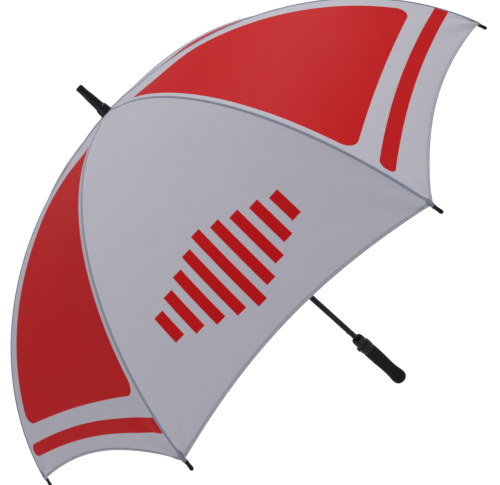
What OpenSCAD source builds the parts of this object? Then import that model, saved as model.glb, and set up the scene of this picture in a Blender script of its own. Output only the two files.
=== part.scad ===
// Golf umbrella with eight panels, an automatic opening spring and a push-button handle.
// Frame: origin at the bottom centre of the handle, +Z up the shaft to the ferrule. Millimetres.

/* [Canopy] */
// Length of a rib from the top notch to the canopy's corner, along its curve
rib_length = 762; // [740:1:780]
// Angle of the rib below the horizontal at its outer end, in degrees
rib_end_angle = 66.4; // [64:0.2:68]
// How late the rib's bend comes: 1 is an even bend
rib_bend_power = 1.236; // [1.2:0.002:1.3]
// How far the hem is cut up between two ribs
hem_scallop = 32; // [20:1:45]
// How far a panel is drawn inwards at the middle of its hem
hem_sag = 10; // [4:1:14]
// Thickness of the canopy's solid
fabric_t = 1.0; // [0.8:0.1:1.2]

/* [Ribs] */
// Diameter of a fibreglass rib
rib_d = 4.0; // [3.6:0.1:4.4]
// Distance along the rib to the bracket that carries the stretcher
bracket_s = 320; // [310:1:330]
// Diameter of a rib's tip cap
tip_cap_d = 6.5; // [6:0.1:7]
// Length of the tip cap beyond the canopy's corner
tip_cap_l = 19; // [16:1:22]

/* [Shaft and runner] */
// Outer diameter of the shaft
shaft_d = 14; // [13.6:0.1:14.4]
// Wall of the shaft
shaft_wall = 1.5; // [1.3:0.1:1.6]
// Height of the rib pivots above the handle's end
notch_z = 963; // [958:1:968]
// Height of the stretcher pivots on the runner, with the umbrella open
runner_z = 726; // [720:1:732]
// How far the runner slides down to close the umbrella
stroke = 432; // [430:1:434]

/* [Handle] */
// Length of the handle
handle_l = 180; // [176:1:184]
// Diameter of the grip
grip_d = 35; // [34:0.5:36]
// Diameter of the rounded end
bulb_d = 37.8; // [37:0.1:38.4]
// Travel of the push button
button_travel = 2; // [1.5:0.1:2]

/* [Hidden] */
$fn = 48;
rib_count = 8;
step_a = 360 / rib_count;
half_a = step_a / 2;

clearance = 0.3;
running_gap = 0.1;
shaft_r = shaft_d / 2;
bore_r = shaft_r - shaft_wall;

// Pivots
notch_r = 12;
runner_r = 15;
wire_d = 1.2;
pin_d = 3;
bracket_drop = 7;

// The rib's curve: its slope grows as a power of the distance along it
function rib_angle(s) = rib_end_angle * pow(max(s, 0) / rib_length, rib_bend_power);
curve_n = 96;
curve_step = 800 / curve_n;
rib_curve = [
    for (i = 0, r = notch_r, z = notch_z; i <= curve_n;
        r = r + curve_step * cos(rib_angle((i + 0.5) * curve_step)),
        z = z - curve_step * sin(rib_angle((i + 0.5) * curve_step)),
        i = i + 1) [r, z]
];
// inside the notch pivots the line runs on level
function rib_at(s) = s < 0 ? [notch_r + s, notch_z] : let (
    i = min(floor(s / curve_step), curve_n - 1),
    f = s / curve_step - i
) rib_curve[i] * (1 - f) + rib_curve[i + 1] * f;
function rib_normal(s) = [sin(rib_angle(s)), cos(rib_angle(s))];
bracket = rib_at(bracket_s);
stretcher_pivot = bracket - bracket_drop * rib_normal(bracket_s);

function rib_azimuth(k) = -half_a - step_a * (k - 1);
function panel_azimuth(k) = -step_a * k;

// A round rod swept along points [r, z] of the plane y = 0
module swept_rod(pts, d, sides = 8) {
    n = len(pts);
    dirs = [for (i = [0:n - 1]) let (v = pts[min(i + 1, n - 1)] - pts[max(i - 1, 0)]) v / norm(v)];
    ring_pts = [for (i = [0:n - 1], j = [0:sides - 1]) let (
        a = 360 * (j + 0.5) / sides,
        up = [-dirs[i][1], dirs[i][0]]
    ) [pts[i][0] + up[0] * cos(a) * d / 2, sin(a) * d / 2, pts[i][1] + up[1] * cos(a) * d / 2]];
    walls = [for (i = [0:n - 2], j = [0:sides - 1]) [
        i * sides + j, i * sides + (j + 1) % sides,
        (i + 1) * sides + (j + 1) % sides, (i + 1) * sides + j
    ]];
    ends = [
        [for (j = [sides - 1:-1:0]) j],
        [for (j = [0:sides - 1]) (n - 1) * sides + j]
    ];
    polyhedron(points = ring_pts, faces = concat(walls, ends), convexity = 4);
}

// A pin or eye along the tangent at [r, z]
module cross_pin(at, d, l) {
    translate([at[0], 0, at[1]])
        rotate([90, 0, 0])
            cylinder(d = d, h = l, center = true);
}

module tube(d_out, d_in, z0, z1) {
    translate([0, 0, z0])
        difference() {
            cylinder(d = d_out, h = z1 - z0);
            translate([0, 0, -1])
                cylinder(d = d_in, h = z1 - z0 + 2);
        }
}

// ---- Shaft ----
shaft_z0 = 24;
shaft_z1 = 968;
handle_pin_z = 60;
slot_w = pin_d + 2 * clearance;
drive_z = runner_z + 9;
catch_z = 205;
button_z = handle_l - 28;
window_w = 5;

module shaft_tube() {
    color([0.06, 0.06, 0.07])
        difference() {
            tube(shaft_d, 2 * bore_r, shaft_z0, shaft_z1);
            translate([-slot_w / 2, -shaft_d, drive_z - stroke - 4])
                cube([slot_w, 2 * shaft_d, stroke + 8]);
            translate([-shaft_d, -window_w / 2, catch_z - 9])
                cube([shaft_d, window_w, 18]);
            translate([-shaft_d, -window_w / 2, button_z - 5])
                cube([shaft_d, window_w, 10]);
            cross_pin([0, handle_pin_z], pin_d, 3 * shaft_d);
        }
}

// ---- Top of the shaft ----
ferrule_z0 = 970.5;
washer_t = 0.8;
ferrule_tip_r = 8;

module ferrule() {
    color([0.05, 0.05, 0.055])
        translate([0, 0, ferrule_z0])
            rotate_extrude()
                polygon([
                    [0, 0], [13.2, 0], [14, 0.8], [13.4, 9], [12.3, 16], [11.6, 17.2],
                    [10.5, 17.6], [10.2, 22], [9.2, 46], [ferrule_tip_r, 57.5], [ferrule_tip_r, 71.5],
                    [7.2, 73.7], [5.2, 74.5], [0, 74.5]
                ]);
}

// A ring from z0 to z1 with a slot for each rib, open outwards and from slot_z0 up to slot_z1
module slotted_head(r_in, r_out, z0, z1, slot_r, slot_z0, slot_z1, slot_width, pivot_r, pivot_z) {
    difference() {
        tube(2 * r_out, 2 * r_in, z0, z1);
        for (k = [1:rib_count])
            rotate([0, 0, rib_azimuth(k)])
                translate([slot_r, -slot_width / 2, slot_z0])
                    cube([r_out, slot_width, slot_z1 - slot_z0]);
        translate([0, 0, pivot_z])
            rotate_extrude()
                translate([pivot_r, 0])
                    circle(d = wire_d, $fn = 16);
    }
}

module top_notch() {
    color([0.07, 0.07, 0.08])
        slotted_head(shaft_r, 16, notch_z - 11, shaft_z1, 9.2, notch_z - 12, notch_z + 3,
            rib_d + 0.8, notch_r, notch_z);
}

module wire_ring(r, z) {
    translate([0, 0, z])
        rotate_extrude()
            translate([r, 0])
                circle(d = wire_d, $fn = 16);
}

module notch_wire() {
    color([0.6, 0.6, 0.62])
        wire_ring(notch_r, notch_z);
}

module crown_washer() {
    color([0.1, 0.1, 0.11])
        tube(30, 10, shaft_z1, shaft_z1 + washer_t);
}

// ---- Handle ----
core_r = 12;
core_top = handle_l - 24;
grip_z0 = 26;
grip_z1 = 136;

module handle_core() {
    color([0.08, 0.08, 0.09])
        difference() {
            tube(2 * core_r, shaft_d, shaft_z0, core_top);
            translate([-2 * core_r, -6, button_z - 7])
                cube([2 * core_r, 12, 40]);
            cross_pin([0, handle_pin_z], pin_d, 2.5 * core_r);
        }
}

module grip() {
    color([0.07, 0.07, 0.075])
        rotate_extrude()
            polygon([
                [core_r, grip_z0], [17.9, grip_z0], [16.6, 38], [16.1, 52], [16.5, 68],
                [grip_d / 2 - 0.2, 88], [grip_d / 2, 110], [grip_d / 2 - 0.1, 128],
                [17.2, grip_z1], [core_r, grip_z1]
            ]);
}

module handle_collar() {
    color([0.04, 0.04, 0.045])
        difference() {
            rotate_extrude()
                polygon([
                    [shaft_r, core_top], [core_r, core_top], [core_r, grip_z1], [17.4, grip_z1],
                    [18.2, 139], [18.35, 146], [18.1, 154], [16.6, 159], [15.5, 161.5],
                    [15.4, 172], [14.6, 178], [13.2, handle_l], [shaft_r, handle_l]
                ]);
            translate([-22, 0, button_z])
                rotate([0, 90, 0])
                    cylinder(r = 6 + running_gap, h = 15);
        }
}

module end_cap() {
    color([0.07, 0.07, 0.075])
        rotate_extrude()
            polygon([
                [0, 0], [7, 0], [10.5, 0.8], [14, 2.8], [16.6, 5.6], [18.3, 9],
                [bulb_d / 2, 12.5], [bulb_d / 2, 20.5], [18.5, 24], [17.9, grip_z0],
                [core_r, grip_z0], [core_r, shaft_z0], [0, shaft_z0]
            ]);
}

module handle_pin() {
    color([0.7, 0.7, 0.72])
        cross_pin([0, handle_pin_z], pin_d, 2 * core_r - 0.4);
}

// ---- Button and catch ----
button_out = 20.4;
leaf_x = -(bore_r - 1.7);
catch_foot_z = 104;
// the spring lies between the shaft and the button's inner face, with room for its pressed length
button_spring_x0 = shaft_r + running_gap;
button_face_x = button_spring_x0 + button_travel + 0.9;
button_spring_waves = 8;
button_spring_step = (button_face_x - 0.18 - button_spring_x0) / button_spring_waves;

module push_button() {
    color([0.12, 0.12, 0.13])
        translate([0, 0, button_z])
            rotate([0, -90, 0])
                rotate_extrude()
                    polygon([
                        [0, -leaf_x + 0.9], [1.6, -leaf_x + 0.9], [1.6, button_face_x],
                        [6, button_face_x], [6, 18.6], [5.4, 19.8], [4, button_out - 0.1], [0, button_out]
                    ]);
}

module button_spring() {
    color([0.7, 0.7, 0.72])
        translate([0, 0, button_z])
            rotate([0, -90, 0])
                rotate_extrude()
                    polygon(concat(
                        [for (i = [0:button_spring_waves])
                            [i % 2 == 0 ? 3.2 : 2.8, button_spring_x0 + i * button_spring_step]],
                        [for (i = [button_spring_waves:-1:0])
                            [i % 2 == 0 ? 2.6 : 2.2, button_spring_x0 + i * button_spring_step]]
                    ));
}

module bottom_catch() {
    color([0.6, 0.6, 0.62]) {
        translate([leaf_x - 0.4, -1.5, catch_foot_z])
            cube([0.8, 3, 108]);
        translate([0, 1.5, 0])
            rotate([90, 0, 0])
                linear_extrude(3)
                    polygon([
                        [leaf_x - 0.4, catch_z - 6], [leaf_x - 0.4, catch_z + 6],
                        [-(shaft_r + 1.2), catch_z + 5], [-(shaft_r + 1.2), catch_z + 1]
                    ]);
        translate([leaf_x - 0.4, -2, catch_foot_z - 6])
            cube([0.8, 4, 6]);
    }
}

// ---- Opening spring and runner ----
plug_z = 219;
plunger_z0 = drive_z - 6;

module spring_plug() {
    color([0.5, 0.5, 0.52])
        translate([0, 0, plug_z])
            cylinder(r = bore_r, h = 9);
}

spring_z0 = plug_z + 9;
spring_turns = 50;

module opening_spring() {
    pitch = (plunger_z0 - spring_z0) / spring_turns;
    color([0.65, 0.65, 0.67])
        rotate_extrude()
            polygon(concat(
                [for (i = [0:2 * spring_turns]) [i % 2 == 0 ? 4.6 : 4.0, spring_z0 + i * pitch / 2]],
                [for (i = [2 * spring_turns:-1:0]) [i % 2 == 0 ? 3.8 : 3.2, spring_z0 + i * pitch / 2]]
            ));
}

module plunger() {
    color([0.15, 0.15, 0.16])
        difference() {
            translate([0, 0, plunger_z0])
                cylinder(r = bore_r - running_gap, h = 12);
            cross_pin([0, drive_z], pin_d, 20);
        }
}

runner_head_r = 17.6;
runner_head_z0 = runner_z - 14;
runner_head_z1 = runner_z + 18;
sleeve_r = 10;
sleeve_z0 = runner_z - 86;

module drive_pin() {
    color([0.7, 0.7, 0.72])
        cross_pin([0, drive_z], pin_d, 2 * (sleeve_r - 0.2));
}

module runner() {
    runner_bore = shaft_r + running_gap;
    color([0.06, 0.06, 0.065])
        difference() {
            union() {
                slotted_head(runner_bore, runner_head_r, runner_head_z0, runner_z + 5,
                    11, runner_head_z0 - 1, runner_z + 6, rib_d + 1, runner_r, runner_z);
                tube(2 * (sleeve_r + 0.6), 2 * runner_bore, runner_z + 5, runner_head_z1);
                tube(2 * sleeve_r, 2 * runner_bore, sleeve_z0, runner_head_z0);
                tube(2 * sleeve_r + 4, 2 * sleeve_r, sleeve_z0, sleeve_z0 + 5);
            }
            cross_pin([0, drive_z], pin_d, 2 * sleeve_r + 3);
            // keyway for the catch's nose
            translate([-(shaft_r + 1.6), -2, sleeve_z0 - 1])
                cube([4, 4, catch_z + 8 - (sleeve_z0 - stroke)]);
        }
}

module runner_wire() {
    color([0.6, 0.6, 0.62])
        wire_ring(runner_r, runner_z);
}

// ---- Ribs and stretchers ----
eye_d = 3.8;
eye_hole_d = wire_d + 2 * clearance;
eye_w = 3.6;
rivet_d = 1.9;
rivet_hole_d = rivet_d + clearance;

module rib_inner(k) {
    n = 13;
    s0 = 1.2;
    color([0.08, 0.08, 0.085])
        rotate([0, 0, rib_azimuth(k)])
            difference() {
                union() {
                    swept_rod([for (i = [0:n]) rib_at(s0 + i * (bracket_s - 5 - s0) / n)], 3.4);
                    cross_pin([notch_r, notch_z], eye_d, eye_w);
                    // bracket: two cheeks that hold the stretcher's end and the outer rod
                    bracket_cheeks();
                }
                cross_pin([notch_r, notch_z], eye_hole_d, 10);
                cross_pin(stretcher_pivot, rivet_hole_d, 20);
                cross_pin(bracket, rivet_hole_d, 20);
            }
}

cheek_gap = 4.4;
cheek_t = 1.1;

module bracket_cheeks() {
    tilt = rib_angle(bracket_s);
    translate([bracket[0], 0, bracket[1]])
        rotate([0, tilt, 0]) {
            for (side = [-1, 1])
                translate([0, side * (cheek_gap + cheek_t) / 2, 0])
                    rotate([90, 0, 0])
                        linear_extrude(cheek_t, center = true)
                            polygon([
                                [-24, -1.8], [-24, 1.5], [0.8, 1.5], [2.3, 0],
                                [2.3, -bracket_drop], [0, -bracket_drop - 2.6], [-3.5, -bracket_drop - 2]
                            ]);
            translate([-24, -cheek_gap / 2 - cheek_t, -1.8])
                cube([18, cheek_gap + 2 * cheek_t, 3.3]);
        }
}

module rib_outer(k) {
    n = 16;
    tip_n = 3;
    s1 = rib_length + 0.8;
    s2 = rib_length + tip_cap_l;
    color([0.1, 0.1, 0.105])
        rotate([0, 0, rib_azimuth(k)])
            difference() {
                union() {
                    swept_rod([for (i = [0:n]) rib_at(bracket_s + 1 + i * (s1 - bracket_s) / n)], rib_d);
                    swept_rod([for (i = [0:tip_n]) rib_at(s1 + i * (s2 - s1) / tip_n)], tip_cap_d);
                    cross_pin(bracket, eye_d, cheek_gap - 2 * clearance);
                }
                cross_pin(bracket, rivet_hole_d, 20);
            }
}

module stretcher(k) {
    runner_pivot = [runner_r, runner_z];
    along = (stretcher_pivot - runner_pivot) / norm(stretcher_pivot - runner_pivot);
    tilt = -atan2(along[1], along[0]);
    length = norm(stretcher_pivot - runner_pivot);
    color([0.12, 0.12, 0.125])
        rotate([0, 0, rib_azimuth(k)]) {
            translate([runner_r, 0, runner_z])
                rotate([0, tilt, 0])
                    difference() {
                        union() {
                            translate([6, -2.1, -2.1])
                                cube([length - 13, 4.2, 4.2]);
                            translate([wire_d / 2 + clearance, -1.5, -1.5])
                                cube([8, 3, 3]);
                            translate([length - 9, -1.6, -1.6])
                                cube([9, 3.2, 3.2]);
                            translate([length, 0, 0])
                                rotate([90, 0, 0])
                                    cylinder(d = eye_d, h = 3.2, center = true);
                        }
                        translate([12, -1.2, -3.1])
                            cube([length - 26, 2.4, 4.2]);
                    }
            cross_pin(stretcher_pivot, rivet_d, 7.2);
        }
}

// ---- Canopy ----
fabric_s0 = -6;
fabric_split = bracket_s;
fabric_gap = rib_d / 2 + 0.7;
crown_z = shaft_z1 + washer_t + clearance;
// half of the gap between two neighbouring panels
seam_gap = 0.45;

function blend_in(x) = let (t = min(max(x, 0), 1)) t * t * (3 - 2 * t);
// height of the fabric's lower face over the rib's centre line
function fabric_lift(s) = let (
    p = rib_at(s),
    crown = crown_z - p[1],
    near = blend_in((s - 8) / 70)
) crown * (1 - near) + fabric_gap * near;
// one point of the fabric: s along the rib, u from -1 to 1 across, t through the cloth
function fabric_point(s, u, t) = let (
    bow = 1 - u * u,
    p = rib_at(s) + (fabric_lift(s) + t) * rib_normal(s),
    sag = hem_sag * bow * blend_in(s / rib_length),
    q = p - sag * rib_normal(s)
) [q[0] * cos(half_a), q[0] * sin(half_a) * u * (1 - seam_gap / max(q[0], seam_gap)), q[1]];
function hem_s(u) = rib_length - hem_scallop * (1 - u * u);

module cloth(rows, cols, s_low, upper) {
    row_pts = cols + 1;
    side = (rows + 1) * row_pts;
    pts = [for (t = [0, fabric_t], i = [0:rows], j = [0:cols]) let (
        u = 2 * j / cols - 1,
        s_high = upper ? fabric_split - 0.2 : hem_s(u)
    ) fabric_point(s_low + (s_high - s_low) * i / rows, u, t)];
    function id(layer, i, j) = layer * side + i * row_pts + j;
    top = [for (i = [0:rows - 1], j = [0:cols - 1], h = [0, 1]) h == 0
        ? [id(1, i, j), id(1, i + 1, j), id(1, i + 1, j + 1)]
        : [id(1, i, j), id(1, i + 1, j + 1), id(1, i, j + 1)]];
    bottom = [for (i = [0:rows - 1], j = [0:cols - 1], h = [0, 1]) h == 0
        ? [id(0, i, j), id(0, i + 1, j + 1), id(0, i + 1, j)]
        : [id(0, i, j), id(0, i, j + 1), id(0, i + 1, j + 1)]];
    rim_rows = [for (j = [0:cols - 1], e = [0, rows]) e == 0
        ? [id(0, 0, j), id(1, 0, j), id(1, 0, j + 1), id(0, 0, j + 1)]
        : [id(0, rows, j), id(0, rows, j + 1), id(1, rows, j + 1), id(1, rows, j)]];
    rim_cols = [for (i = [0:rows - 1], e = [0, cols]) e == 0
        ? [id(0, i, 0), id(0, i + 1, 0), id(1, i + 1, 0), id(1, i, 0)]
        : [id(0, i, cols), id(1, i, cols), id(1, i + 1, cols), id(0, i + 1, cols)]];
    polyhedron(points = pts, faces = concat(top, bottom, rim_rows, rim_cols), convexity = 6);
}

// two panels that face each other are white, the others red
function cloth_colour(k) = k % 4 == 2 ? [0.9, 0.9, 0.91] : [0.75, 0.14, 0.14];

module panel_upper(k) {
    color(cloth_colour(k))
        rotate([0, 0, panel_azimuth(k)])
            cloth(10, 6, fabric_s0, true);
}

module panel_lower(k) {
    color(cloth_colour(k))
        rotate([0, 0, panel_azimuth(k)])
            cloth(18, 6, fabric_split + 0.2, false);
}

shaft_tube();
ferrule();
top_notch();
notch_wire();
crown_washer();
handle_core();
grip();
handle_collar();
end_cap();
handle_pin();
push_button();
button_spring();
bottom_catch();
spring_plug();
opening_spring();
plunger();
drive_pin();
runner();
runner_wire();
for (k = [1:rib_count]) {
    rib_inner(k);
    rib_outer(k);
    stretcher(k);
    panel_upper(k);
    panel_lower(k);
}
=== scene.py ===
import math

import bpy
import numpy as np
from mathutils import Matrix, Vector


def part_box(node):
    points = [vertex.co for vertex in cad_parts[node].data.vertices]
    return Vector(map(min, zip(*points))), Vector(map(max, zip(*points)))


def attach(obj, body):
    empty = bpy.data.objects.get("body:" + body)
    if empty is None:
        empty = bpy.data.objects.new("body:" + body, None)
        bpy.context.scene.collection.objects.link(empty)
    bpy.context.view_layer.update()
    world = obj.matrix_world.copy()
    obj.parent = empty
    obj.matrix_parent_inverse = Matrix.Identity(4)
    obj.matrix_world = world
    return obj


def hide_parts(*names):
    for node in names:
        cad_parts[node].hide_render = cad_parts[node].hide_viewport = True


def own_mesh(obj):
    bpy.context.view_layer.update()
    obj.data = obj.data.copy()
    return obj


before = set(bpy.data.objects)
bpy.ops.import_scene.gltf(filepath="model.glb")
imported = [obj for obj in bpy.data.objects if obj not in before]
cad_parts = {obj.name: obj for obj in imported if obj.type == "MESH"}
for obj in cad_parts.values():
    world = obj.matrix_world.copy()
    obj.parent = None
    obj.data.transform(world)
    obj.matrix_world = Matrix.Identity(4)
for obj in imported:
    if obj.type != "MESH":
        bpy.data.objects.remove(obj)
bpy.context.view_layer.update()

# ---------------------------------------------------------------- driving dimensions, metres
RIBS = 8
STEP = math.tau / RIBS
HALF = STEP / 2
RIB_LENGTH = 0.762
RIB_END_ANGLE = math.radians(66.4)
BEND_POWER = 1.236
BRACKET_S = 0.320
NOTCH_R, NOTCH_Z = 0.012, 0.963
ROD_R = 0.002
INNER_ROD_R = 0.0017
TIP_BEYOND = 0.019
FABRIC_GAP = 0.0027
FABRIC_T = 0.0004
FABRIC_OUT = 0.0004
CROWN_Z = 0.9691
HEM_SCALLOP = 0.032
HEM_SAG = 0.010
FABRIC_S0 = -0.006
CROWN_END_S, CROWN_BLEND = 0.008, 0.070
HEM_W = 0.0045
WHITE_PANELS = (2, 6)
BUTTON_COIL_R, BUTTON_WIRE_R, BUTTON_TURNS = 0.0027, 0.00014, 3
MM = 0.001

FERRULE_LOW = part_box("ferrule")[0].z


# ---------------------------------------------------------------- the rib's curve
def rib_angle(s):
    """Slope of the rib below the horizontal at distance s along it."""
    return RIB_END_ANGLE * (np.maximum(s, 0.0) / RIB_LENGTH) ** BEND_POWER


CURVE_S = np.linspace(0.0, 0.8, 1601)
CURVE_STEP = CURVE_S[1] - CURVE_S[0]
CURVE_SLOPE = rib_angle((CURVE_S[1:] + CURVE_S[:-1]) / 2)
CURVE_R = NOTCH_R + np.concatenate([[0.0], np.cumsum(np.cos(CURVE_SLOPE) * CURVE_STEP)])
CURVE_Z = NOTCH_Z - np.concatenate([[0.0], np.cumsum(np.sin(CURVE_SLOPE) * CURVE_STEP)])


def rib_point(s):
    """Radius and height of the rib's centre line at s."""
    return np.interp(s, CURVE_S, CURVE_R) + np.minimum(s, 0.0), np.interp(s, CURVE_S, CURVE_Z)


def ease(x):
    """A smooth step from 0 to 1."""
    x = np.clip(x, 0.0, 1.0)
    return x * x * (3 - 2 * x)


def fabric_lift(s):
    """Height of the cloth's inner face over the rib's centre line."""
    out = ease((s - CROWN_END_S) / CROWN_BLEND)
    return (CROWN_Z - rib_point(s)[1]) * (1 - out) + FABRIC_GAP * out


def ridge_point(s, lift=0.0):
    """A point over the rib, lift above the cloth's inner face: radius and height."""
    r, z = rib_point(s)
    a = rib_angle(s)
    d = fabric_lift(s) + lift
    return r + np.sin(a) * d, z + np.cos(a) * d


def rib_azimuth(k):
    """Angle of rib k round the shaft."""
    return -HALF - STEP * (k - 1)


def panel_azimuth(k):
    """Angle of the middle of panel k, between ribs k and k + 1."""
    return -STEP * k


def hem_s(u):
    """Distance along the rib at which the hem lies."""
    return RIB_LENGTH - HEM_SCALLOP * (1 - u * u)


# ---------------------------------------------------------------- the cloth's surface
def folds(s, u, k):
    """Small tension folds of panel k, in metres along the cloth's normal."""
    w = ridge_point(s)[0] * math.sin(HALF)
    seam = (1 - np.abs(u)) * w
    to_hem = hem_s(u) - s
    total = np.zeros_like(seam)
    phases = [0.7 * k, 1.9 * k + 1.0]
    for side, phase in zip((-1, 1), phases):
        # rays that fan out from the corner where the cloth is tied to the rib's tip
        across = (1 - side * u) * w
        along = RIB_LENGTH - s + 0.004
        distance = np.sqrt(across**2 + along**2)
        bearing = np.arctan2(across, along)
        reach = np.exp(-distance / 0.075) * ease(distance / 0.025)
        total += 0.0030 * reach * np.sin(8.0 * bearing + phase) * ease(bearing / 0.35)
    # puckers along the seams
    pucker = np.sin(s / 0.0115 + 3.0 * k) * 0.6 + np.sin(s / 0.0071 + 1.3 * k) * 0.4
    total += 0.00022 * pucker * np.exp(-seam / 0.006) * ease(seam / 0.002)
    # the hem rolls in a little, more in the middle of the span
    total += -0.0016 * np.exp(-np.maximum(to_hem, 0) / 0.012) * (1 - u * u)
    # slow waves over the whole gore
    total += 0.0016 * np.sin(s / 0.055 + 1.7 * k) * np.sin(2.2 * u + 0.9 * k) * (1 - u * u) * ease(s / 0.2)
    return total


def gore(s, u, t, k):
    """Points of panel k: s along the rib, u from -1 to 1 across, t out from the inner face."""
    s, u = np.broadcast_arrays(np.asarray(s, float), np.asarray(u, float))
    a = rib_angle(s)
    bow = (1 - u * u)
    out = t + folds(s, u, k) - HEM_SAG * bow * ease(s / RIB_LENGTH)
    r, z = rib_point(s)
    d = fabric_lift(s) + out
    radius = r + np.sin(a) * d
    height = z + np.cos(a) * d
    x, y = radius * math.cos(HALF), radius * math.sin(HALF) * u
    c, e = math.cos(panel_azimuth(k)), math.sin(panel_azimuth(k))
    return np.stack([x * c - y * e, x * e + y * c, height], axis=-1)


def on_rib(k, s, across, lift):
    """Points of the seam over rib k: across is sideways, lift the height over the cloth's inner face."""
    s, across = np.broadcast_arrays(np.asarray(s, float), np.asarray(across, float))
    r, z = ridge_point(s, lift)
    r = r - np.abs(across) * math.tan(HALF)
    c, e = math.cos(rib_azimuth(k)), math.sin(rib_azimuth(k))
    return np.stack([r * c - across * e, r * e + across * c, z], axis=-1)


# ---------------------------------------------------------------- mesh helpers
def new_object(name, verts, faces, material, smooth=True):
    mesh = bpy.data.meshes.new(name)
    mesh.from_pydata([tuple(map(float, v)) for v in verts], [], faces)
    mesh.validate()
    mesh.update()
    mesh.polygons.foreach_set("use_smooth", [smooth] * len(mesh.polygons))
    mesh.materials.append(material)
    obj = bpy.data.objects.new(name, mesh)
    bpy.context.scene.collection.objects.link(obj)
    return obj


def grid_faces(rows, cols, start=0, flip=False):
    """Quads over a grid of rows by cols points."""
    faces = []
    for i in range(rows - 1):
        for j in range(cols - 1):
            a = start + i * cols + j
            quad = (a, a + cols, a + cols + 1, a + 1)
            faces.append(quad[::-1] if flip else quad)
    return faces


def set_uv(mesh, name, values):
    """Gives the mesh a UV map from one (x, y) for each vertex."""
    layer = mesh.uv_layers.new(name=name)
    index = np.zeros(len(mesh.loops), dtype=np.int32)
    mesh.loops.foreach_get("vertex_index", index)
    layer.data.foreach_set("uv", np.asarray(values, np.float32)[index].ravel())


def thin_shell(name, outer, inner, material, normals, uv, uv2):
    """A closed sheet from two grids of points, with normals that carry on over its neighbours."""
    rows, cols = outer.shape[:2]
    n = rows * cols
    verts = np.concatenate([outer.reshape(-1, 3), inner.reshape(-1, 3)])
    faces = grid_faces(rows, cols) + grid_faces(rows, cols, n, flip=True)
    rim = [j for j in range(cols)]
    rim += [i * cols + cols - 1 for i in range(1, rows)]
    rim += [(rows - 1) * cols + j for j in range(cols - 2, -1, -1)]
    rim += [i * cols for i in range(rows - 2, 0, -1)]
    for a, b in zip(rim, rim[1:] + rim[:1]):
        faces.append((a, b, b + n, a + n))
    obj = new_object(name, verts, faces, material)
    mesh = obj.data
    set_uv(mesh, "cloth", np.concatenate([uv.reshape(-1, 2)] * 2))
    set_uv(mesh, "gore", np.concatenate([uv2.reshape(-1, 2)] * 2))
    flat = normals.reshape(-1, 3)
    mesh.normals_split_custom_set_from_vertices(np.concatenate([flat, -flat]).tolist())
    return obj


def lathe(name, profile, material, segments):
    """Turns an outline of (radius, height) points round the shaft's axis."""
    verts, faces, rings = [], [], []
    for r, h in profile:
        if r < 1e-7:
            rings.append([len(verts)])
            verts.append((0.0, 0.0, h))
            continue
        rings.append(list(range(len(verts), len(verts) + segments)))
        for j in range(segments):
            a = math.tau * j / segments
            verts.append((r * math.cos(a), r * math.sin(a), h))
    for low, high in zip(rings, rings[1:]):
        for j in range(segments):
            m = (j + 1) % segments
            if len(low) == 1:
                faces.append((low[0], high[m], high[j]))
            elif len(high) == 1:
                faces.append((low[j], low[m], high[0]))
            else:
                faces.append((low[j], low[m], high[m], high[j]))
    return new_object(name, verts, faces, material)


def rounded(profile, radius, steps=5):
    """An outline with each inner corner replaced by a short arc-like bend."""
    out = [profile[0]]
    for before, here, after in zip(profile, profile[1:], profile[2:]):
        p, q, s = (np.array(v, float) for v in (before, here, after))
        a, b = p - q, s - q
        la, lb = np.linalg.norm(a), np.linalg.norm(b)
        cut = min(radius, la * 0.45, lb * 0.45)
        p0, p1 = q + a / la * cut, q + b / lb * cut
        for i in range(steps + 1):
            t = i / steps
            out.append(tuple((1 - t) ** 2 * p0 + 2 * t * (1 - t) * q + t * t * p1))
    out.append(profile[-1])
    return out


def sweep(name, centres, ups, sides, outline, material):
    """A closed tube along centres; outline(share of the length, angle from ups) is its radius."""
    n = len(centres)
    centres = np.asarray(centres, float)
    along = np.gradient(centres, axis=0)
    along /= np.linalg.norm(along, axis=1)[:, None]
    verts = []
    for i in range(n):
        up = np.asarray(ups[i], float)
        side = np.cross(along[i], up)
        for j in range(sides):
            a = math.tau * j / sides
            radius = outline(i / (n - 1), a)
            verts.append(centres[i] + radius * (math.cos(a) * up + math.sin(a) * side))
    faces = []
    for i in range(n - 1):
        for j in range(sides):
            a, b = i * sides + j, i * sides + (j + 1) % sides
            faces.append((a, b, b + sides, a + sides))
    faces.append(tuple(range(sides - 1, -1, -1)))
    faces.append(tuple((n - 1) * sides + j for j in range(sides)))
    return new_object(name, verts, faces, material)


def rib_frame(k, s, lift=0.0):
    """Centre and outward normal, in the row frame, of rib k at s."""
    r, z = rib_point(s)
    a = rib_angle(s)
    c, e = math.cos(rib_azimuth(k)), math.sin(rib_azimuth(k))
    normal = np.array([np.sin(a) * c, np.sin(a) * e, np.cos(a)])
    return np.array([r * c, r * e, z]) + normal * lift, normal


# ---------------------------------------------------------------- materials
def material(name):
    """A new material: (material, nodes, links, its Principled shader)."""
    m = bpy.data.materials.new(name)
    m.use_nodes = True
    tree = m.node_tree
    return m, tree.nodes, tree.links, tree.nodes["Principled BSDF"]


def math_node(tree, op, a, b=None, clamp=False):
    """One maths node; a and b are sockets or plain numbers."""
    node = tree.nodes.new("ShaderNodeMath")
    node.operation = op
    node.use_clamp = clamp
    for socket, value in zip(node.inputs, (a, b)):
        if value is None:
            continue
        if isinstance(value, (int, float)):
            socket.default_value = value
        else:
            tree.links.new(value, socket)
    return node.outputs[0]


def noise_fac(tree, scale, detail=3.0, rough=0.55):
    """Noise over the object's own coordinates."""
    node = tree.nodes.new("ShaderNodeTexNoise")
    node.inputs["Scale"].default_value = scale
    node.inputs["Detail"].default_value = detail
    node.inputs["Roughness"].default_value = rough
    place = tree.nodes.new("ShaderNodeTexCoord")
    tree.links.new(place.outputs["Object"], node.inputs["Vector"])
    return node.outputs["Fac"]


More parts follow.
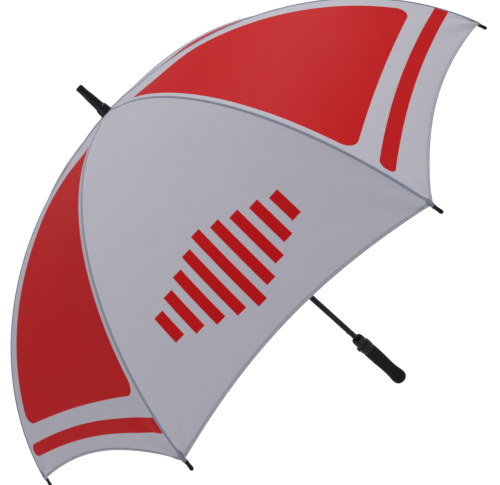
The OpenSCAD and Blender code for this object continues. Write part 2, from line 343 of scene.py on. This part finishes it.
def ramp(tree, fac, low, high, start=0.3, stop=0.7):
    """Colour that runs from low to high as fac goes from start to stop."""
    node = tree.nodes.new("ShaderNodeValToRGB")
    node.color_ramp.elements[0].position = start
    node.color_ramp.elements[1].position = stop
    node.color_ramp.elements[0].color = (*low, 1)
    node.color_ramp.elements[1].color = (*high, 1)
    tree.links.new(fac, node.inputs["Fac"])
    return node.outputs["Color"]


def span(tree, fac, low, high):
    """Maps 0..1 to low..high."""
    node = tree.nodes.new("ShaderNodeMapRange")
    node.inputs["To Min"].default_value = low
    node.inputs["To Max"].default_value = high
    tree.links.new(fac, node.inputs["Value"])
    return node.outputs["Result"]


def bump(tree, height, strength, distance, shader, normal=None):
    """Bumps the shader's normal, on top of normal if it is given."""
    node = tree.nodes.new("ShaderNodeBump")
    node.inputs["Strength"].default_value = strength
    node.inputs["Distance"].default_value = distance
    tree.links.new(height, node.inputs["Height"])
    if normal is not None:
        tree.links.new(normal, node.inputs["Normal"])
    tree.links.new(node.outputs["Normal"], shader.inputs["Normal"])
    return node.outputs["Normal"]


def mix_colour(tree, fac, a, b):
    """Blends colour a into b; each is a socket or an RGB tuple."""
    node = tree.nodes.new("ShaderNodeMix")
    node.data_type = "RGBA"
    for socket, value in ((node.inputs[0], fac), (node.inputs[6], a), (node.inputs[7], b)):
        if isinstance(value, (int, float)):
            socket.default_value = value
        elif isinstance(value, tuple):
            socket.default_value = (*value, 1)
        else:
            tree.links.new(value, socket)
    return node.outputs[2]


WHITE_CLOTH = (0.72, 0.707, 0.765)
RED_INK = (0.78, 0.010, 0.012)
# the seams' blue-grey is painted shade: the shadow that lies in the tucked cloth along each rib, given to the
# seam strips as their colour
SEAM_PAINTED_SHADE = (0.30, 0.35, 0.44)

# the red field: where it starts and ends along the rib, and its white borders
FIELD_TOP_S, FIELD_LEAN_S, FIELD_LOW_S = 0.135, 0.25, 0.640
FIELD_LEAN = 0.062
FIELD_NEAR_INSET, FIELD_FAR_INSET = 0.0125, 0.024
FIELD_BOW, FIELD_CORNER_R = 0.009, 0.026
# the red band over the hem
BAND_TOP_S, BAND_W = 0.677, 0.026
BAND_BOW, BAND_INSET, BAND_CORNER_R = 0.015, 0.011, 0.011
# the bars on the white panels
MOTIF_X, MOTIF_S = -0.010, 0.612
BAR_PITCH, BAR_W, BARS_PER_SIDE = 0.030, 0.017, 4
BAR_LONGEST, BAR_STEP = 0.150, 0.0125
# pitch of the weave's threads
THREAD = 0.00035


def shade(colour, share):
    return tuple(c * share for c in colour)


def uv_axes(tree, name):
    """The two values of the UV map name."""
    uv = tree.nodes.new("ShaderNodeUVMap")
    uv.uv_map = name
    split = tree.nodes.new("ShaderNodeSeparateXYZ")
    tree.links.new(uv.outputs["UV"], split.inputs[0])
    return split.outputs["X"], split.outputs["Y"]


def step_edge(tree, distance, soft=0.0006):
    """1 where distance is above 0, with an edge soft metres wide."""
    return math_node(tree, "MULTIPLY_ADD", distance, 1 / soft, clamp=True)


def round_region(tree, a, b, radius):
    """Signed room inside two edges at distances a and b, whose corner is rounded."""
    da = math_node(tree, "MAXIMUM", math_node(tree, "SUBTRACT", radius, a), 0.0)
    db = math_node(tree, "MAXIMUM", math_node(tree, "SUBTRACT", radius, b), 0.0)
    da_square = math_node(tree, "MULTIPLY", da, da)
    square = math_node(tree, "ADD", da_square, math_node(tree, "MULTIPLY", db, db))
    return math_node(tree, "SUBTRACT", radius, math_node(tree, "SQRT", square))


def field_and_band(tree, shift, near_side):
    """Ink mask of a coloured panel: a field that tapers up towards one seam, and a band over the hem.

    shift moves the print towards the hem. near_side is the u, -1 or 1, of the seam that the field leans to.
    """
    seam, s = uv_axes(tree, "gore")
    x, u = uv_axes(tree, "cloth")
    bow = math_node(tree, "SUBTRACT", 1.0, math_node(tree, "MULTIPLY", u, u))
    # the field
    low = math_node(tree, "SUBTRACT", FIELD_LOW_S + shift, math_node(tree, "MULTIPLY", bow, FIELD_BOW))
    to_edge = math_node(tree, "SUBTRACT", low, s)
    above = math_node(tree, "SUBTRACT", FIELD_LEAN_S, s)
    lean = math_node(tree, "DIVIDE", above, FIELD_LEAN_S - FIELD_TOP_S)
    lean = math_node(tree, "MAXIMUM", lean, 0.0)
    lean = math_node(tree, "MULTIPLY", lean, math_node(tree, "MULTIPLY", lean, FIELD_LEAN))
    far_inset = math_node(tree, "ADD", lean, FIELD_FAR_INSET)
    # room from the near seam and from the far seam, both across the whole panel
    half_width = math_node(tree, "ADD", seam, math_node(tree, "ABSOLUTE", x))
    towards = math_node(tree, "MULTIPLY", x, near_side)
    room_near = math_node(tree, "SUBTRACT", half_width, math_node(tree, "ADD", towards, FIELD_NEAR_INSET))
    room_far = math_node(tree, "SUBTRACT", math_node(tree, "ADD", half_width, towards), far_inset)
    inset = math_node(tree, "MINIMUM", room_near, room_far)
    field = round_region(tree, inset, to_edge, FIELD_CORNER_R)
    # the band
    rise = math_node(tree, "MULTIPLY", bow, BAND_BOW)
    top = math_node(tree, "SUBTRACT", BAND_TOP_S + shift, rise)
    from_top = math_node(tree, "SUBTRACT", s, top)
    to_low = math_node(tree, "SUBTRACT", math_node(tree, "ADD", top, BAND_W), s)
    between = math_node(tree, "MINIMUM", from_top, to_low)
    # the band stops short of one seam and runs out to the other
    one_side = math_node(tree, "GREATER_THAN", u, 0.0)
    room = math_node(tree, "ADD", math_node(tree, "SUBTRACT", seam, BAND_INSET), one_side)
    band = round_region(tree, room, between, BAND_CORNER_R)
    return math_node(tree, "MAXIMUM", step_edge(tree, field), step_edge(tree, band))


def bar_motif(tree):
    """Ink mask of the white panels: a row of plain upright bars of stepped lengths."""
    s = uv_axes(tree, "gore")[1]
    x = uv_axes(tree, "cloth")[0]
    local = math_node(tree, "SUBTRACT", x, MOTIF_X)
    index = math_node(tree, "ROUND", math_node(tree, "DIVIDE", local, BAR_PITCH))
    bar_middle = math_node(tree, "MULTIPLY", index, BAR_PITCH)
    offset = math_node(tree, "ABSOLUTE", math_node(tree, "SUBTRACT", local, bar_middle))
    rank = math_node(tree, "ABSOLUTE", index)
    half_length = math_node(tree, "SUBTRACT", BAR_LONGEST / 2, math_node(tree, "MULTIPLY", rank, BAR_STEP))
    from_middle = math_node(tree, "ABSOLUTE", math_node(tree, "SUBTRACT", s, MOTIF_S))
    room_along = math_node(tree, "SUBTRACT", half_length, from_middle)
    room_across = math_node(tree, "SUBTRACT", BAR_W / 2, offset)
    inside = math_node(tree, "MINIMUM", room_along, room_across)
    allowed = math_node(tree, "LESS_THAN", rank, BARS_PER_SIDE + 0.5)
    return math_node(tree, "MULTIPLY", step_edge(tree, inside), allowed)


def cloth_material(name, ink):
    """Pongee: a fine plain weave with a slight sheen, printed with ink(tree)."""
    m, nodes, links, shader = material(name)
    tree = m.node_tree
    base = mix_colour(tree, noise_fac(tree, 9.0, 4.0), shade(WHITE_CLOTH, 0.965), WHITE_CLOTH)
    mask = ink(tree)
    red = mix_colour(tree, noise_fac(tree, 14.0, 5.0), shade(RED_INK, 0.90), RED_INK)
    base = mix_colour(tree, mask, base, red)
    links.new(span(tree, mask, 0.58, 0.50), shader.inputs["Roughness"])
    links.new(base, shader.inputs["Base Color"])
    shader.inputs["Sheen Weight"].default_value = 0.02
    shader.inputs["Sheen Roughness"].default_value = 0.45
    shader.inputs["Specular IOR Level"].default_value = 0.10
    # weave: warp and weft threads
    x, s = uv_axes(tree, "weave")
    warp = math_node(tree, "SINE", math_node(tree, "MULTIPLY", x, math.tau / THREAD))
    weft = math_node(tree, "SINE", math_node(tree, "MULTIPLY", s, math.tau / THREAD))
    weave = math_node(tree, "MULTIPLY", warp, weft)
    creases = noise_fac(tree, 22.0, 5.0, rough=0.6)
    first = bump(tree, creases, 0.12, 0.004, shader)
    bump(tree, weave, 0.10, 0.0001, shader, first)
    # daylight comes through the thin cloth
    out = nodes["Material Output"]
    through = nodes.new("ShaderNodeBsdfTranslucent")
    links.new(base, through.inputs["Color"])
    mix = nodes.new("ShaderNodeMixShader")
    mix.inputs[0].default_value = 0.16
    links.new(shader.outputs[0], mix.inputs[1])
    links.new(through.outputs[0], mix.inputs[2])
    links.new(mix.outputs[0], out.inputs["Surface"])
    return m


STITCH_PITCH = 0.0026
STITCH_OFFSET = 0.0028
STITCH_HALF_W = 0.00035


def trim_material(name, colour):
    """Folded and sewn cloth with a row of stitches; its UV map trim holds (offset across, distance along)."""
    m, _, links, shader = material(name)
    tree = m.node_tree
    across, along = uv_axes(tree, "trim")
    dash = math_node(tree, "SINE", math_node(tree, "MULTIPLY", along, math.tau / STITCH_PITCH))
    dash = math_node(tree, "GREATER_THAN", dash, -0.3)
    line = math_node(tree, "SUBTRACT", math_node(tree, "ABSOLUTE", across), STITCH_OFFSET)
    line = math_node(tree, "LESS_THAN", math_node(tree, "ABSOLUTE", line), STITCH_HALF_W)
    stitch = math_node(tree, "MULTIPLY", dash, line)
    body = mix_colour(tree, noise_fac(tree, 60.0, 4.0), shade(colour, 0.8), colour)
    thread = tuple(min(1, c * 1.5 + 0.04) for c in colour)
    links.new(mix_colour(tree, stitch, body, thread), shader.inputs["Base Color"])
    shader.inputs["Roughness"].default_value = 0.7
    shader.inputs["Sheen Weight"].default_value = 0.15
    height = math_node(tree, "ADD", math_node(tree, "MULTIPLY", stitch, 0.6), noise_fac(tree, 400.0, 3.0))
    bump(tree, height, 0.35, 0.0004, shader)
    return m


def plain_material(name, colour, rough, grain_scale, grain_strength, coat=0.0, gloss=0.22):
    """Moulded or painted stock: a little colour and roughness variation and a fine grain."""
    m, _, links, shader = material(name)
    tree = m.node_tree
    tone = ramp(tree, noise_fac(tree, 30.0, 4.0), shade(colour, 0.75), colour)
    links.new(tone, shader.inputs["Base Color"])
    wear = span(tree, noise_fac(tree, 90.0, 3.0), rough * 0.85, rough * 1.15)
    links.new(wear, shader.inputs["Roughness"])
    shader.inputs["Specular IOR Level"].default_value = gloss
    shader.inputs["Coat Weight"].default_value = coat
    shader.inputs["Coat Roughness"].default_value = 0.12
    bump(tree, noise_fac(tree, grain_scale, 2.0), grain_strength, 0.0003, shader)
    return m


def drawn_steel(name, colour, rough=0.28):
    """Drawn wire or strip: metal with a fine, uneven polish."""
    m, _, links, shader = material(name)
    tree = m.node_tree
    tone = ramp(tree, noise_fac(tree, 120.0, 4.0), shade(colour, 0.8), colour)
    links.new(tone, shader.inputs["Base Color"])
    links.new(span(tree, noise_fac(tree, 300.0, 2.0), rough * 0.7, rough * 1.4), shader.inputs["Roughness"])
    shader.inputs["Metallic"].default_value = 1.0
    bump(tree, noise_fac(tree, 900.0, 2.0), 0.15, 0.0002, shader)
    return m


MAT = {
    "white": cloth_material("cloth_white", bar_motif),
    "field_near_minus": cloth_material("cloth_field_a", lambda tree: field_and_band(tree, 0.0, -1)),
    "field_near_plus": cloth_material("cloth_field_b", lambda tree: field_and_band(tree, 0.013, 1)),
    # the seams take the painted shade colour
    "seam": trim_material("seam_painted_shade", SEAM_PAINTED_SHADE),
    # the hem is the white cloth darkened to two thirds: painted shade along the turned edge
    "hem": trim_material("hem_fold_painted_shade", shade(WHITE_CLOTH, 0.66)),
    "pocket": trim_material("tip_pocket", (0.24, 0.235, 0.30)),
    "plastic": plain_material("black_plastic", (0.007, 0.007, 0.008), 0.42, 700.0, 0.25),
    "gloss": plain_material("gloss_black", (0.006, 0.006, 0.007), 0.22, 500.0, 0.08, coat=0.12),
    "grip": plain_material("grip_rubber", (0.007, 0.007, 0.008), 0.62, 1600.0, 0.5, gloss=0.15),
    "shaft": plain_material("painted_shaft", (0.006, 0.006, 0.007), 0.30, 900.0, 0.10, coat=0.10),
    "rod": plain_material("fibreglass_rod", (0.009, 0.009, 0.010), 0.38, 1200.0, 0.2),
    "channel": plain_material("painted_channel", (0.009, 0.009, 0.010), 0.36, 800.0, 0.15, coat=0.1),
    "wire": drawn_steel("plated_wire", (0.62, 0.62, 0.64)),
    "spring": drawn_steel("spring_steel", (0.50, 0.50, 0.52), 0.34),
    # near black spring steel: painted shade, so that the slot in the shaft reads as the dark inside of the
    # tube
    "dark_spring": drawn_steel("spring_painted_shade", (0.060, 0.060, 0.066), 0.40),
}


# ---------------------------------------------------------------- canopy
def panel_grid(k, s0, s1, rows, cols):
    """Outer and inner points, normals and UV values of part of panel k; s0 and s1 are functions of u."""
    u = np.linspace(-1, 1, cols)[None, :]
    v = np.linspace(0, 1, rows)[:, None]
    s = s0(u) + (s1(u) - s0(u)) * v
    u = np.broadcast_to(u, s.shape)
    outer = gore(s, u, FABRIC_OUT + FABRIC_T, k)
    inner = gore(s, u, FABRIC_OUT, k)
    near = 1e-4
    du = gore(s, u + near, FABRIC_T, k) - gore(s, u - near, FABRIC_T, k)
    dv = gore(s + near, u, FABRIC_T, k) - gore(s - near, u, FABRIC_T, k)
    normals = np.cross(dv, du)
    normals /= np.linalg.norm(normals, axis=-1)[..., None]
    w = ridge_point(s)[0] * math.sin(HALF)
    cloth = np.stack([u * w, u], axis=-1)
    room = np.stack([(1 - np.abs(u)) * w, s], axis=-1)
    weave = np.stack([u * w, s], axis=-1)
    return outer, inner, normals, cloth, room, weave


def grid_area(points):
    """Area of a grid of points, two triangles to a cell."""
    a = points[1:, :-1] - points[:-1, :-1]
    b = points[:-1, 1:] - points[:-1, :-1]
    c = points[:-1, 1:] - points[1:, 1:]
    d = points[1:, :-1] - points[1:, 1:]
    cells = np.linalg.norm(np.cross(a, b), axis=-1) + np.linalg.norm(np.cross(c, d), axis=-1)
    return float(cells.sum() / 2)


def fold_with_runner(obj):
    """Gives the cloth's object its own copy of its mesh."""
    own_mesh(obj)


def make_panel(k, part, s0, s1, rows, cols):
    """Part upper or lower of panel k, with the width and length of its flat sheet and its area."""
    name = f"canopy_{part}_{k}"
    key = "white" if k in WHITE_PANELS else ("field_near_plus" if k % 4 == 3 else "field_near_minus")
    outer, inner, normals, cloth, room, weave = panel_grid(k, s0, s1, rows, cols)
    obj = thin_shell(name, outer, inner, MAT[key], normals, cloth, room)
    set_uv(obj.data, "weave", np.concatenate([weave.reshape(-1, 2)] * 2))
    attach(obj, f"panel_{part}_{k}")
    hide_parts(f"panel_{part}_{k}")
    width = float(np.ptp(cloth[-1, :, 0]))
    middle = outer[:, outer.shape[1] // 2]
    side = outer[:, 0]
    lengths = [float(np.linalg.norm(np.diff(line, axis=0), axis=1).sum()) for line in (middle, side)]
    return obj, (width, max(lengths)), grid_area(outer)


def make_hem(k):
    """The turned edge along panel k's hem: a flat fold with a rounded lip."""
    cols = 81
    u = np.linspace(-1, 1, cols)
    section = [(-HEM_W, 0.0002), (-HEM_W, 0.0013), (-0.0010, 0.0014), (0.0001, 0.0010), (0.0002, 0.0004),
               (-0.0010, -0.0004), (-HEM_W, -0.0002)]
    rings = [gore(hem_s(u) + ds, u, t, k) for ds, t in section]
    verts = np.stack(rings, axis=0)
    m = len(section)
    flat = verts.reshape(-1, 3)
    faces = []
    for i in range(m):
        n = (i + 1) % m
        for j in range(cols - 1):
            faces.append((i * cols + j, n * cols + j, n * cols + j + 1, i * cols + j + 1))
    faces.append(tuple(i * cols for i in range(m - 1, -1, -1)))
    faces.append(tuple(i * cols + cols - 1 for i in range(m)))
    obj = new_object(f"hem_{k}", flat, faces, MAT["hem"])
    w = float(ridge_point(RIB_LENGTH)[0]) * math.sin(HALF)
    uv = [(ds + 0.0050, float(uu) * w) for ds, t in section for uu in u]
    set_uv(obj.data, "trim", uv)
    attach(obj, f"panel_lower_{k}")
    return obj


def make_seam(k, part, body, s0, s1, count):
    """The felled seam over rib k: two flat allowances and a raised welt between them."""
    section = [(-0.0022, 0.0004), (-0.0020, 0.0010), (-0.0010, 0.0016), (0.0, 0.0018),
               (0.0010, 0.0016), (0.0020, 0.0010), (0.0022, 0.0004), (0.0, 0.0002)]
    s = np.linspace(s0, s1, count)
    rings = np.stack([on_rib(k, s, across, lift) for across, lift in section], axis=0)
    m = len(section)
    faces = []
    for i in range(m):
        n = (i + 1) % m
        for j in range(count - 1):
            faces.append((i * count + j, i * count + j + 1, n * count + j + 1, n * count + j))
    faces.append(tuple(i * count for i in range(m)))
    faces.append(tuple(i * count + count - 1 for i in range(m - 1, -1, -1)))
    # the seam strip carries the seams' painted shade
    obj = new_object(f"seam_{part}_{k}", rings.reshape(-1, 3), faces, MAT["seam"])
    set_uv(obj.data, "trim", [(across, float(x)) for across, lift in section for x in s])
    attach(obj, body)
    return obj


def make_canopy():
    """Eight gores, each an upper and a lower sheet with a hem, and the seams between them."""
    start = lambda u: FABRIC_S0 + 0 * u
    split = lambda u: BRACKET_S + 0 * u
    for k in range(1, RIBS + 1):
        upper, upper_flat, upper_area = make_panel(k, "upper", start, split, 49, 41)
        lower, lower_flat, lower_area = make_panel(k, "lower", split, hem_s, 97, 81)
        hem = make_hem(k)
        for obj in (upper, lower, hem):
            fold_with_runner(obj)
        make_seam(k, "inner", f"rib_inner_{k}", 0.0025, BRACKET_S, 90)
        make_seam(k, "outer", f"rib_outer_{k}", BRACKET_S, RIB_LENGTH - 0.001, 130)


# ---------------------------------------------------------------- ribs
def rod(name, k, s0, s1, count, radius, mat, lift=0.0, sides=16):
    """A piece of round section along rib k from s0 to s1."""
    frames = [rib_frame(k, s, lift) for s in np.linspace(s0, s1, count)]
    return sweep(name, [f[0] for f in frames], [f[1] for f in frames], sides, radius, mat)


def tip_outline(t, a):
    """Radius of the tip cap along its length: a collar, a slim barrel and a rounded nose."""
    if t < 0.10:
        return 0.00300 * math.sin(math.pi / 2 * (0.55 + t * 4.5))
    if t < 0.22:
        return 0.00325
    if t < 0.28:
        return 0.00325 - (t - 0.22) / 0.06 * 0.00055
    if t < 0.80:
        return 0.0027 + (t - 0.28) * 0.0009
    return max(0.0005, 0.00317 * math.sqrt(max(0.0, 1 - ((t - 0.80) / 0.20) ** 2)))


def pocket_outline(t, a):
    """Radius of the folded pocket round a rib's end: flat, and widening towards the tip."""
    side = 0.0012 + 0.0034 * ease(t / 0.70) - 0.0012 * ease((t - 0.75) / 0.25)
    up = 0.0006 + 0.0021 * ease(t / 0.80)
    crease = 1 + 0.05 * math.sin(5 * a + 9 * t)
    return crease / math.sqrt((math.cos(a) / up) ** 2 + (math.sin(a) / side) ** 2)


def make_pocket(k):
    """The doubled cloth that holds the rib's end at the canopy's corner."""
    start, end = RIB_LENGTH - 0.026, RIB_LENGTH + 0.0025
    obj = rod(f"tip_pocket_{k}", k, start, end, 24, pocket_outline, MAT["pocket"], lift=0.0012, sides=40)
    set_uv(obj.data, "trim", [(0.0, v.co.z) for v in obj.data.vertices])
    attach(obj, f"rib_outer_{k}")


def make_ribs():
    """The rods of the ribs, their tip caps and the cloth pockets that hold them."""
    for k in range(1, RIBS + 1):
        inner = rod(f"rod_inner_{k}", k, 0.0012, BRACKET_S - 0.005, 60, lambda t, a: INNER_ROD_R, MAT["rod"])
        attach(inner, f"rib_inner_{k}")
        start, end = BRACKET_S + 0.001, RIB_LENGTH + 0.001
        outer = rod(f"rod_outer_{k}", k, start, end, 90, lambda t, a: ROD_R, MAT["rod"])
        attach(outer, f"rib_outer_{k}")
        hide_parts(f"rib_outer_{k}")
        tip = rod(f"tip_cap_{k}", k, RIB_LENGTH + 0.0008, RIB_LENGTH + TIP_BEYOND - 0.0002, 60, tip_outline,
                  MAT["plastic"], sides=24)
        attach(tip, f"rib_outer_{k}")
        make_pocket(k)


# ---------------------------------------------------------------- handle and ferrule
def make_handle():
    """The waisted grip and the rounded end; outlines in millimetres."""
    grip_line = [(12, 26.4), (17.6, 26.4), (17.9, 28), (16.8, 38), (16.2, 52), (16.5, 68), (17.25, 88),
                 (17.5, 110), (17.4, 128), (17.1, 135), (16.6, 135.8), (12, 135.8)]
    grip_profile = [(r * MM, z * MM) for r, z in rounded(grip_line, 3.0)]
    grip = lathe("grip_sleeve", grip_profile, MAT["grip"], 96)
    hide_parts("grip")
    cap_line = [(0, 0), (7, 0), (11.5, 1.0), (15.2, 3.6), (17.6, 7.2), (18.7, 11), (18.9, 14), (18.9, 20),
                (18.4, 24), (17.7, 26), (12, 26)]
    cap_profile = [(r * MM, z * MM) for r, z in rounded(cap_line, 2.5)]
    cap = lathe("end_bulb", cap_profile, MAT["grip"], 96)
    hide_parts("end_cap")
    for obj in (grip, cap):
        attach(obj, "frame")


def make_ferrule():
    """The collar and the spike over the crown; its outline is in millimetres above the crown."""
    line = [(0, 0), (13.2, 0), (14, 0.9), (13.4, 9), (12.2, 16.4), (10.5, 17.6), (10.1, 22), (9.1, 46),
            (8, 57.5), (8, 71.5), (7.2, 73.7), (4.8, 74.5), (0, 74.5)]
    profile = [(r * MM, FERRULE_LOW + z * MM) for r, z in rounded(line, 1.2)]
    obj = lathe("ferrule_spike", profile, MAT["gloss"], 72)
    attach(obj, "frame")
    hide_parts("ferrule")


# ---------------------------------------------------------------- springs
def make_spring(name, mat, start, axis, length, coil_r, wire_r, turns):
    """A wound wire spring from start along axis."""
    start, axis = Vector(start), Vector(axis)
    side = axis.orthogonal().normalized()
    over = axis.cross(side)
    steps = turns * 20
    centres, ups = [], []
    for i in range(steps + 1):
        a = math.tau * turns * i / steps
        out = side * math.cos(a) + over * math.sin(a)
        along = wire_r + (length - 2 * wire_r) * i / steps
        centres.append(start + axis * along + out * coil_r)
        ups.append(out)
    obj = sweep(name, centres, ups, 8, lambda t, a: wire_r, mat)
    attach(obj, "frame")
    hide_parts(name.replace("wound_", ""))
    tuple(start)
    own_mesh(obj)


def make_springs():
    """The button's wound spring; the opening spring is the CAD's own."""
    low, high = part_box("button_spring")
    middle = (low.z + high.z) / 2
    length = high.x - low.x
    make_spring("wound_button_spring", MAT["spring"], (high.x, 0, middle), (-1, 0, 0), length,
                BUTTON_COIL_R, BUTTON_WIRE_R, BUTTON_TURNS)


# ---------------------------------------------------------------- carried-over CAD nodes
def paint_nodes():
    """Materials of the CAD nodes that show."""
    kinds = {
        "shaft_tube": "shaft", "top_notch": "plastic", "notch_wire": "wire", "crown_washer": "plastic",
        "handle_core": "plastic", "handle_collar": "gloss", "handle_pin": "wire", "push_button": "gloss",
        # the opening spring gets the near black steel that paints the shade inside the shaft's slot
        "bottom_catch": "spring", "spring_plug": "spring", "opening_spring": "dark_spring",
        "plunger": "plastic", "drive_pin": "wire", "runner": "plastic", "runner_wire": "wire",
    }
    for k in range(1, RIBS + 1):
        kinds[f"rib_inner_{k}"] = "rod"
        kinds[f"stretcher_{k}"] = "channel"
    for node, key in kinds.items():
        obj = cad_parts[node]
        obj.data.materials.clear()
        obj.data.materials.append(MAT[key])


# ---------------------------------------------------------------- stage
AIR_LIGHT = (0.37, 0.375, 0.40)
FLOOR_HALF, FLOOR_Z = 30.0, -2.2


def make_stage():
    """Pale floor, white surroundings and three soft lights."""
    scene = bpy.context.scene
    m, nodes, links, shader = material("floor_paper")
    tree = m.node_tree
    paper = ramp(tree, noise_fac(tree, 2.0, 3.0), (0.90, 0.90, 0.905), (0.93, 0.93, 0.935))
    links.new(paper, shader.inputs["Base Color"])
    links.new(paper, shader.inputs["Emission Color"])
    # the camera sees bright paper, while the umbrella gets only its bounced light
    seen = nodes.new("ShaderNodeLightPath").outputs["Is Camera Ray"]
    links.new(span(tree, seen, 0.25, 0.80), shader.inputs["Emission Strength"])
    shader.inputs["Roughness"].default_value = 0.9
    corners = [(x * FLOOR_HALF, y * FLOOR_HALF, FLOOR_Z) for x, y in ((-1, -1), (1, -1), (1, 1), (-1, 1))]
    floor = new_object("floor", corners, [(0, 1, 2, 3)], m, smooth=False)

    world = bpy.data.worlds.new("studio")
    scene.world = world
    world.use_nodes = True
    tree = world.node_tree
    background = tree.nodes["Background"]
    seen = tree.nodes.new("ShaderNodeLightPath").outputs["Is Camera Ray"]
    tree.links.new(mix_colour(tree, seen, AIR_LIGHT, (1.0, 1.0, 1.0)), background.inputs["Color"])
    scene.view_settings.view_transform = "Standard"

    def area(name, place, target, width, power, colour):
        data = bpy.data.lights.new(name, "AREA")
        data.shape = "DISK"
        data.size = width
        data.energy = power
        data.color = colour
        light = bpy.data.objects.new(name, data)
        light.location = place
        light.rotation_euler = (Vector(target) - Vector(place)).to_track_quat("-Z", "Y").to_euler()
        scene.collection.objects.link(light)

    area("key", (2.2, 0.4, 3.4), (0.1, 0.0, 0.75), 2.4, 62.0, (1.0, 0.98, 0.97))
    area("fill", (-2.8, -2.4, 2.0), (0.0, 0.0, 0.7), 2.6, 19.0, (0.95, 0.96, 1.0))
    area("low", (0.6, -2.8, -0.4), (0.0, 0.0, 0.4), 2.0, 5.0, (0.97, 0.98, 1.0))


def make_camera():
    """The camera sees the umbrella leaning over to the left: it stands out to one side and is rolled."""
    azimuth, elevation, roll = math.radians(-85.765), math.radians(19.333), math.radians(-47.937)
    distance, side, rise = 1.3074, 0.2873, -0.2603
    back = Vector((math.cos(elevation) * math.cos(azimuth), math.cos(elevation) * math.sin(azimuth),
                   math.sin(elevation)))
    right = Vector((-math.sin(azimuth), math.cos(azimuth), 0))
    up = back.cross(right)
    across = math.cos(roll) * right + math.sin(roll) * up
    over = -math.sin(roll) * right + math.cos(roll) * up
    data = bpy.data.cameras.new("camera")
    data.sensor_width = 36.0
    data.lens = 45.97
    camera = bpy.data.objects.new("camera", data)
    place = Vector((0, 0, NOTCH_Z)) + distance * back + side * across + rise * over
    basis = Matrix((across, over, back)).transposed().to_4x4()
    camera.matrix_world = Matrix.Translation(place) @ basis
    bpy.context.scene.collection.objects.link(camera)
    bpy.context.scene.camera = camera


make_camera()
make_stage()
make_canopy()
make_ribs()
make_handle()
make_ferrule()
make_springs()
paint_nodes()
